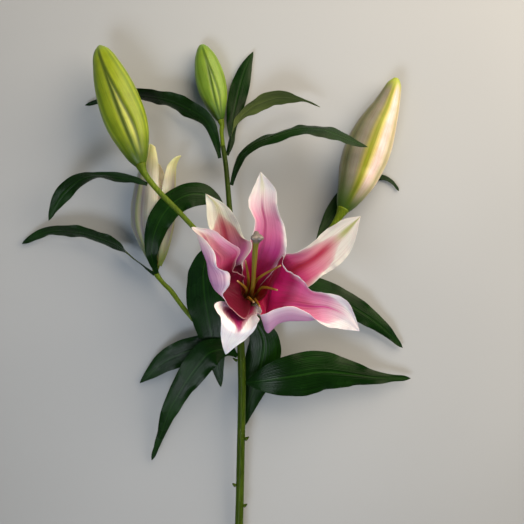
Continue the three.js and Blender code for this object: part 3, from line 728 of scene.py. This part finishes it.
def mirrored(stops):
    """Colour stops from one margin to the rib, and the same again to the other margin."""
    return stops + [(1 - place, colour) for place, colour in reversed(stops)]


def opening_tepal_skin(name, margin, flank, streak, rib, base_end, tip_end):
    """Soft waxy tepal skin: satin, with a green rib and fine lengthwise veins 1 mm apart."""
    material, tree, place, across, along = skin_material(name)
    veins = fibres_along(tree, place, OPENING_TEPAL_SIZE, (1, 35))
    stops = [(0.0, margin), (0.16, margin), (0.3, flank), (0.4, streak), (0.46, rib)]
    skin = put(
        tree, "ValToRGB", {"stops": mirrored(stops)}, {"Fac": frayed(tree, across, veins, 0.12)},
    )
    ended = with_ends(tree, skin, along, (base_end, 0.3, 0.0, 1), (tip_end, 0.7, 1.0, 0.8))
    veined = darkened(tree, ended, veins, 0.5, 0.7, 0.55, "#c6c4ae")
    bump = put(tree, "Bump", {"Strength": 0.4, "Distance": 0.0003}, {"Height": veins})
    return finish_material(
        material, {"Roughness": 0.5, **TEPAL_FLESH}, {"Base Color": veined, "Normal": bump},
    )


# the back's margin and flank greys are the tepals' grey-white darkened as painted shade
opening_back = opening_tepal_skin(
    "opening_tepal_back", margin="#a8aa98", flank="#84867c", streak="#7a7679", rib="#868c66",
    base_end="#627426", tip_end="#c0c680",
)
opening_face = opening_tepal_skin(
    "opening_tepal_face", margin="#f0ebe2", flank="#ecdcdd", streak="#dfbfc8", rib="#c9cf96",
    base_end="#c8cda0", tip_end="#e4e2bd",
)

core_rings, _ = organ_rings("opening_bud_inner_tepals", BUD_RING_SIZE, "pedicel_opening_bud")
bud_heart = core_rings[0].mean(axis=0)

for side in ("left", "right", "under"):
    node = "opening_bud_tepal_" + side
    blade = Blade(
        node, "pedicel_opening_bud", TEPAL_PLACES, TEPAL_PLACES, rows=110, columns=48, root=0.001,
        heart=bud_heart,
    )
    blade.ruffle(reach=0.5, wavelength=0.021, height=0.0007)
    rib = bell(blade.across, 0.12)[None, :]
    grooves = bell(np.abs(blade.across) - 0.2, 0.06)[None, :]
    taper = (1 - 0.55 * blade.along)[:, None]
    piece = blade.skinned(
        thickness=(OPENING_TEPAL_THICKNESS + 0.0006 * rib) * taper,
        face_relief=0 * rib,
        back_relief=(0.0009 * rib - 0.0004 * grooves) * taper,
        materials=[opening_face, opening_back],
    )

closed_bud(
    "furled_inner_tepals", "opening_bud_inner_tepals", "pedicel_opening_bud",
    keel_at_base=0.2, keel_at_tip=0.2, seam_gap=0.05,
    look=dict(
        name="waxy_bud_furled", keel="#c5cd8e", seam="#a5a57e", margin="#e8e2d4", flank="#e2dccb",
        beside_rib="#d8d6ac", rib="#ccd29b", base_end="#a9b36f", tip_end="#cfd89a", streak="#e6d8d0",
    ),
)


# ---------- open flower: tepals ----------
# Six fleshy tepals, three inner and broad, three outer and narrow, stand on the end of the
# pedicel. Their margins are thin, white and ruffled, and a furrow runs up the middle of each.

TEPAL_ROWS = 160
TEPAL_COLUMNS = 76
TEPAL_SIZE = (46, 112)  # width and length in mm
TEPAL_THICKNESS = 0.0006
TEPAL_RIB_THICKNESS = 0.0009
TEPAL_VEINS_EACH_SIDE = 7
TEPAL_VEIN_HEIGHT = 0.00006
FURROW_WIDTH = 0.0011
FURROW_DEPTH = 0.0006
TEPAL_KEEL_WIDTH = 0.0022
TEPAL_KEEL_HEIGHT = 0.0007
PISTIL_RING_SIZE = 12


def rib_distance(tree, across):
    """How far from the rib a point of the skin map lies: 0 on it, and 1 at the margins."""
    doubled = put(tree, "Math", {"operation": "MULTIPLY_ADD", 1: 2.0, 2: -1.0}, {0: across})
    return put(tree, "Math", {"operation": "ABSOLUTE"}, {0: doubled})


def tepal_face(name, bottom, mouth, throat, margin, white, white_from, white_to, deep, pale,
               rib, rib_width, rib_from, rib_to, tip, notch=0.0):
    """Inner side of a tepal: velvety living skin, white at the margin and rose inside it.

    Its veins are 1 mm apart. Its cells are too fine to show, so they are drawn 0.7 mm wide.
    throat is the share of its length inside the dark trumpet, whose colours are bottom and mouth,
    and notch is how much shorter that is at the margins. margin is the white share of its half
    width, and white_from and white_to are where its rose part, deep to pale, narrows to nothing.
    The midrib has rib's colour from rib_from to rib_to of the length, and tip's beyond that.
    """
    material, tree, place, across, along = skin_material(name)
    from_rib = rib_distance(tree, across)
    veins = fibres_along(tree, place, TEPAL_SIZE, (1, 35), detail=4, roughness=0.55)
    blotches = fibres_along(tree, place, TEPAL_SIZE, (9.2, 51), detail=2)

    # how far inside the edge of the rose part a point lies
    edge = put(
        tree, "MapRange",
        {"From Min": white_from, "From Max": white_to, "To Min": 1 - margin, "To Max": -0.25,
         **SMOOTH},
        {"Value": along},
    )
    inside = put(tree, "Math", {"operation": "SUBTRACT"}, {0: edge, 1: from_rib})
    inside = frayed(tree, frayed(tree, inside, veins, 0.14), blotches, 0.3)
    grown = put(tree, "MapRange", {"From Min": throat, "From Max": 1.0}, {"Value": along})
    core = put(
        tree, "ValToRGB", {"stops": [(0.0, "#8f1f50"), (0.14, deep), (0.5, pale), (0.82, white)]},
        {"Fac": grown},
    )
    depth_of_rose = put(
        tree, "ValToRGB",
        {"stops": [(0.0, "#000000"), (0.03, "#a8a8a8"), (0.08, "#dcdcdc"), (0.24, "#ffffff")]},
        {"Fac": inside},
    )
    rose = put(
        tree, "Mix", {"data_type": "RGBA", 6: white}, {0: depth_of_rose, 7: core},
    ).outputs[2]

    # the dark trumpet, from its golden bottom to its sharp mouth
    depth = put(
        tree, "Math", {"operation": "MULTIPLY_ADD", 1: notch},
        {0: from_rib, 2: put(tree, "Math", {"operation": "DIVIDE", 1: throat}, {0: along})},
    )
    dark = put(
        tree, "ValToRGB",
        {"stops": [(0.0, "#e0c468"), (0.12, "#d0822c"), (0.26, "#b42c1c"), (0.42, bottom),
                   (0.9, mouth)]},
        {"Fac": depth},
    )
    in_throat = put(
        tree, "MapRange", {"From Min": 1.09, "From Max": 0.9, **SMOOTH},
        {"Value": frayed(tree, depth, veins, 0.2)},
    )
    in_rim = put(tree, "MapRange", {"From Min": 0.985, "From Max": 0.94}, {"Value": from_rib})
    below_rim = put(tree, "MapRange", {"From Min": 0.65, "From Max": 0.45}, {"Value": depth})
    dark_here = put(
        tree, "Math", {"operation": "MULTIPLY"},
        {0: in_throat, 1: put(tree, "Math", {"operation": "MAXIMUM"}, {0: in_rim, 1: below_rim})},
    )
    coloured = put(tree, "Mix", {"data_type": "RGBA"}, {0: dark_here, 6: rose, 7: dark}).outputs[2]

    # the midrib is a crimson band, with a darker line on each side of its furrow, and turns green
    # towards its tip
    line_near = put(tree, "Math", {"operation": "SUBTRACT", 1: 0.085}, {0: from_rib})
    line = put(
        tree, "MapRange", {"From Min": 0.035, "From Max": 0.0, "To Max": 0.55},
        {"Value": put(tree, "Math", {"operation": "ABSOLUTE"}, {0: line_near})},
    )
    band, band_starts, band_ends, tip_band, tip_starts = [
        put(
            tree, "MapRange", {"From Min": start, "From Max": full, "To Max": share, **SMOOTH},
            {"Value": value},
        )
        for start, full, share, value in (
            (rib_width, 0.0, 1, frayed(tree, from_rib, veins, 0.1)),
            (rib_from - 0.12, rib_from, 1, along),
            (rib_to + 0.08, rib_to - 0.1, 1, along),
            (0.34, 0.04, 1, from_rib),
            (rib_to - 0.02, rib_to + 0.12, 0.85, along),
        )
    ]
    reach = put(tree, "Math", {"operation": "MULTIPLY"}, {0: band_starts, 1: band_ends})
    for paint, sideways, lengthwise in (
        (rib, band, reach), ("#8f2a55", line, reach), (tip, tip_band, tip_starts),
    ):
        there = put(tree, "Math", {"operation": "MULTIPLY"}, {0: sideways, 1: lengthwise})
        coloured = put(
            tree, "Mix", {"data_type": "RGBA", 7: paint}, {0: there, 6: coloured},
        ).outputs[2]
    veined = darkened(tree, coloured, veins, 0.48, 0.7, 0.55, "#e0c6d2")
    in_space = put(tree, "TexCoord").outputs["Object"]
    cells = put(tree, "TexVoronoi", {"Scale": METRE / 0.714}, {"Vector": in_space})
    cell_bump = put(tree, "Bump", {"Strength": 0.12, "Distance": 0.0002}, {"Height": cells})
    bump = put(
        tree, "Bump", {"Strength": 0.45, "Distance": 0.0005},
        {"Height": veins, "Normal": cell_bump},
    )
    return finish_material(
        material,
        {"Roughness": 0.5, "Specular IOR Level": 0.25, **TEPAL_FLESH,
         "Subsurface Radius": (1.0, 0.35, 0.5), "Sheen Weight": 0.03, "Sheen Roughness": 0.4},
        {"Base Color": veined, "Normal": bump},
    )


def tepal_back(name):
    """Outer side of a tepal: satin and lilac, with veins 1.2 mm apart and white margins."""
    material, tree, place, across, along = skin_material(name)
    veins = fibres_along(tree, place, TEPAL_SIZE, (1.15, 46.7), detail=4, roughness=0.55)
    # the lilac stops are the backs' own lilac, partly darkened further as painted shade
    stops = [(0.0, "#f0e6ea"), (0.03, "#dcc0d0"), (0.12, "#be92b2"), (0.36, "#a8749c"),
             (0.45, "#b0849e"), (0.49, "#b9b489")]
    skin = put(
        tree, "ValToRGB", {"stops": mirrored(stops)}, {"Fac": frayed(tree, across, veins, 0.14)},
    )
    ended = with_ends(tree, skin, along, ("#aab878", 0.3, 0.02, 1), ("#e9e4cf", 0.72, 1.0, 0.9))
    veined = darkened(tree, ended, veins, 0.48, 0.7, 0.6, "#cbb3c6")
    bump = put(tree, "Bump", {"Strength": 0.4, "Distance": 0.0004}, {"Height": veins})
    return finish_material(
        material,
        {"Roughness": 0.55, "Specular IOR Level": 0.25, **TEPAL_FLESH,
         "Subsurface Radius": (1.0, 0.4, 0.55)},
        {"Base Color": veined, "Normal": bump},
    )


# Each tepal has its own set of colours. Its white, grey on the outer left and right tepals and
# brightest on the outer bottom one, is one white with painted shade and painted light. The outer
# left tepal's mauve pale is its pink with painted shade, and the darker throats of the inner left
# and outer bottom tepals, with the bottom one's notch, are their crimson partly darkened as painted
# shade.
TEPALS = {
    "tepal_inner_top": dict(
        bottom="#94082c", mouth="#8c1048", throat=0.38, margin=0.03, white="#dad8d6",
        white_from=0.86, white_to=1.12, deep="#a83478", pale="#c07c9e", rib="#98386a",
        rib_width=0.1, rib_from=0.46, rib_to=0.82, tip="#cdd0ae",
    ),
    "tepal_inner_right": dict(
        bottom="#94082a", mouth="#a81058", throat=0.51, margin=0.03, white="#d4d2d6",
        white_from=0.72, white_to=1.02, deep="#d45c94", pale="#c088a4", rib="#b03880",
        rib_width=0.08, rib_from=0.6, rib_to=0.84, tip="#d4d0d4",
    ),
    "tepal_inner_left": dict(
        bottom="#540018", mouth="#6c042e", throat=0.62, margin=-0.05, white="#ece4dc",
        white_from=0.9, white_to=1.06, deep="#c04c80", pale="#f0b4c8", rib="#b03c7c",
        rib_width=0.1, rib_from=0.7, rib_to=0.92, tip="#ece2d0",
    ),
    "tepal_outer_right": dict(
        bottom="#94082c", mouth="#901448", throat=0.4, margin=0.02, white="#ccccc4",
        white_from=0.54, white_to=1.04, deep="#b43c74", pale="#bc8a92", rib="#98203c",
        rib_width=0.4, rib_from=0.46, rib_to=0.76, tip="#8c9848",
    ),
    "tepal_outer_bottom": dict(
        bottom="#600014", mouth="#78083c", throat=0.62, notch=2.3, margin=0.46, white="#fbf7f8",
        white_from=0.5, white_to=0.84, deep="#a83474", pale="#dcc0e4", rib="#901c5c",
        rib_width=0.2, rib_from=0.56, rib_to=0.7, tip="#faf8f4",
    ),
    "tepal_outer_left": dict(
        bottom="#740420", mouth="#7c1040", throat=0.45, margin=-0.02, white="#c8ccc0",
        white_from=0.62, white_to=0.94, deep="#8c3c7c", pale="#b0787c", rib="#903044",
        rib_width=0.3, rib_from=0.6, rib_to=0.8, tip="#b8ba84",
    ),
}

pistil_rings, _ = organ_rings("pistil", PISTIL_RING_SIZE, "pedicel_flower")
flower_heart = pistil_rings[0].mean(axis=0)
lilac_back = tepal_back("satin_lilac_tepal_back")

for node, look in TEPALS.items():
    blade = Blade(
        node, "pedicel_flower", TEPAL_PLACES, TEPAL_PLACES, TEPAL_ROWS, TEPAL_COLUMNS,
        root=0.0012, heart=flower_heart,
    )
    blade.ruffle(reach=0.55, wavelength=0.026, height=0.0008)
    blade.ruffle(reach=0.25, wavelength=0.009, height=0.00015, kind="_crimp")
    s = blade.across[None, :]
    v = blade.along[:, None]
    from_rib = s * (blade.width[:, None] / 2)
    furrow = bell(from_rib, FURROW_WIDTH) * np.clip((0.9 - v) / 0.5, 0, 1)
    keel = bell(from_rib, TEPAL_KEEL_WIDTH) * (1 - 0.7 * v)
    folds = np.cos(2 * np.pi * TEPAL_VEINS_EACH_SIDE * np.abs(s))
    veins = TEPAL_VEIN_HEIGHT * (folds * (1 - np.abs(s)) * np.clip(v / 0.3, 0, 1))
    piece = blade.skinned(
        thickness=(TEPAL_THICKNESS + TEPAL_RIB_THICKNESS * bell(s, 0.3)) * (1 - 0.4 * v),
        face_relief=veins - FURROW_DEPTH * furrow,
        back_relief=veins + TEPAL_KEEL_HEIGHT * keel,
        materials=[tepal_face("velvety_" + node, **look), lilac_back],
    )


# ---------- open flower: stamens and pistil ----------
# The anthers have been taken off, so six bare curved filaments stand round the pistil: a long
# style that widens into a sticky three-lobed stigma. All are smooth, firm and slightly moist.

STYLE_SIZE = (9.8, 100)  # girth and length in mm
FILAMENT_FLATNESS = 0.00012
STIGMA_FROM = 0.93
LOBE_HEIGHT = 0.0006
GRAIN_HEIGHT = 0.00008


def moist_stalk(name, base, middle, top, end, end_from, roughness):
    """Smooth moist plant skin, coloured along its length, with streaks 0.7 mm apart.

    Its grains are too fine to show, so they are drawn 0.6 mm wide.
    """
    material, tree, place, _, along = skin_material(name)
    colour = put(
        tree, "ValToRGB",
        {"stops": [(0.0, base), (0.35, middle), (end_from - 0.03, top), (end_from, end),
                   (1.0, end)]},
        {"Fac": along},
    )
    streaks = fibres_along(tree, place, STYLE_SIZE, (0.7, 20), detail=4)
    streaked = darkened(tree, colour, streaks, 0.4, 0.7, 0.6, "#b9b89a")
    in_space = put(tree, "TexCoord").outputs["Object"]
    grains = put(tree, "TexVoronoi", {"Scale": METRE / 0.556}, {"Vector": in_space})
    bump = put(tree, "Bump", {"Strength": 0.3, "Distance": 0.0002}, {"Height": grains})
    return finish_material(
        material,
        {"Roughness": roughness, "Subsurface Weight": 0.1, "Subsurface Scale": 0.002,
         "Coat Weight": 0.25, "Coat Roughness": 0.2},
        {"Base Color": streaked, "Normal": bump},
    )


filament_skin = moist_stalk(
    "moist_filament", "#a06a1c", "#8c6c14", "#8a6a18", "#b08c5c", end_from=0.97, roughness=0.45,
)
for side in ("upper_left", "left", "upper_right", "right", "lower_left", "lower_right"):
    node = "filament_" + side
    filament = round_organ(
        node, "pedicel_flower", ring_size=6, sides=20, spacing=0.0008, root=0.001,
        relief=lambda angle, along, _: FILAMENT_FLATNESS * np.cos(2 * angle) * (1 - along),
        material=filament_skin,
    )


def stigma_relief(angle, along, length):
    """Three lobes, with fine grains on them, on the stigma at the style's end."""
    lobes = LOBE_HEIGHT * np.cos(3 * angle + 0.5)
    grains = GRAIN_HEIGHT * np.sin(11 * angle + 60 * along)
    return (lobes + grains) * np.clip((along - STIGMA_FROM) / 0.04, 0, 1)


style_skin = moist_stalk(
    "moist_style", "#80601c", "#80681a", "#7c7a1c", "#746c66", end_from=0.955, roughness=0.4,
)
pistil = round_organ(
    "pistil", "pedicel_flower", PISTIL_RING_SIZE, sides=72, spacing=0.0007, root=0.001,
    relief=stigma_relief, material=style_skin,
)


# ---------- leaves ----------
# Narrow leaves without stalks, firm and leathery. Their veins run side by side from base to tip;
# the upper side is dark, waxed and glossy, and the underside olive and matt.

LEAF_UPPER = (-1, -0.6, -0.2, 0.2, 0.6, 1)
LEAF_UNDER = (-1, -0.6, 0, 0.6, 1)
LEAF_ROWS = 114
LEAF_COLUMNS = 57
LEAF_SIZE = (42, 140)  # width and length in mm
LEAF_THICKNESS = 0.00045
LEAF_RIB_THICKNESS = 0.0006
LEAF_VEINS_EACH_SIDE = 6
LEAF_VEIN_HEIGHT = 0.00007
FULL_VEINS_FROM = 0.012  # half a width below which the veins are lower
GROOVE_WIDTH = 0.0012
GROOVE_DEPTH = 0.00055
LEAF_KEEL_WIDTH = 0.0015
LEAF_KEEL_HEIGHT = 0.00065


def leaf_skin(name, dark, middle, light, rib, gloss, veins_deep):
    """Waxed leaf skin with parallel veins: a leaf 30 mm wide has one about every 1.2 mm.

    gloss is the shader's roughness, low on the waxed side, and veins_deep is how much the veins
    lighten the colour.
    """
    material, tree, place, across, _ = skin_material(name)
    stretched = put(tree, "Mapping", {"Scale": (1, 0.05, 1)}, {"Vector": place})
    veins = put(
        tree, "TexWave", {"Scale": 8, "Distortion": 1.2, "Detail": 2, "Detail Scale": 3},
        {"Vector": stretched},
    ).outputs["Fac"]
    fibres = fibres_along(tree, place, LEAF_SIZE, (0.7, 35), detail=4)
    in_space = put(tree, "TexCoord").outputs["Object"]
    patches = put(tree, "TexNoise", {"Scale": METRE / 26.3, "Detail": 3}, {"Vector": in_space})
    fibre_tone = put(tree, "Math", {"operation": "MULTIPLY", 1: 0.55}, {0: fibres})
    tone = put(tree, "Math", {"operation": "MULTIPLY_ADD", 1: 0.45}, {0: patches, 2: fibre_tone})
    green = put(
        tree, "ValToRGB", {"stops": [(0.36, dark), (0.5, middle), (0.66, light)]}, {"Fac": tone},
    )
    on_vein = put(
        tree, "MapRange", {"From Min": 0.6, "From Max": 1.0, "To Max": veins_deep},
        {"Value": veins},
    )
    veined = put(tree, "Mix", {"data_type": "RGBA", 7: light}, {0: on_vein, 6: green}).outputs[2]
    on_rib = put(
        tree, "MapRange", {"From Min": 0.06, "From Max": 0.015, "To Max": 0.6},
        {"Value": rib_distance(tree, across)},
    )
    ribbed = put(tree, "Mix", {"data_type": "RGBA", 7: rib}, {0: on_rib, 6: veined}).outputs[2]
    vein_bump = put(tree, "Bump", {"Strength": 0.25, "Distance": 0.0003}, {"Height": veins})
    bump = put(
        tree, "Bump", {"Strength": 0.25, "Distance": 0.0003},
        {"Height": fibres, "Normal": vein_bump},
    )
    rough = put(
        tree, "MapRange",
        {"From Min": 0.35, "From Max": 0.65, "To Min": gloss - 0.05, "To Max": gloss + 0.08},
        {"Value": patches},
    )
    return finish_material(
        material, {"Specular IOR Level": 0.13},
        {"Base Color": ribbed, "Roughness": rough, "Normal": bump},
    )


leaf_face = leaf_skin(
    "leaf_waxed_face", "#061a02", "#0b2604", "#143808", "#224810", gloss=0.27, veins_deep=0.3,
)
leaf_back = leaf_skin(
    "leaf_matt_back", "#3c4c20", "#4c5c2c", "#5f6f3a", "#6d7c44", gloss=0.6, veins_deep=0.4,
)

LEAVES_ON_PEDICELS = {
    "leaf_left_bud": "pedicel_left_bud", "leaf_right_bud": "pedicel_right_bud",
    "leaf_far_left": "pedicel_opening_bud", "leaf_over_opening_bud": "pedicel_opening_bud",
}
leaf_nodes = sorted(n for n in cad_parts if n.startswith("leaf_") and "stub" not in n)

for node in leaf_nodes:
    stalk = LEAVES_ON_PEDICELS.get(node, "main_stem")
    blade = Blade(node, stalk, LEAF_UPPER, LEAF_UNDER, LEAF_ROWS, LEAF_COLUMNS, root=0.0016)
    blade.ruffle(reach=0.7, wavelength=0.043, height=0.0011)
    s = blade.across[None, :]
    v = blade.along[:, None]
    half_width = blade.width[:, None] / 2
    groove = bell(s * half_width, GROOVE_WIDTH)
    keel = bell(s * half_width, LEAF_KEEL_WIDTH) * (1 - 0.6 * v)
    folds = np.cos(2 * np.pi * LEAF_VEINS_EACH_SIDE * np.abs(s)) * (1 - np.abs(s))
    veins = LEAF_VEIN_HEIGHT * np.clip(half_width / FULL_VEINS_FROM, 0, 1) * folds
    piece = blade.skinned(
        thickness=LEAF_THICKNESS + LEAF_RIB_THICKNESS * bell(s, 0.25) * (1 - 0.7 * v),
        face_relief=veins - GROOVE_DEPTH * groove * (1 - 0.5 * v),
        back_relief=LEAF_KEEL_HEIGHT * keel - veins,
        materials=[leaf_face, leaf_back],
    )
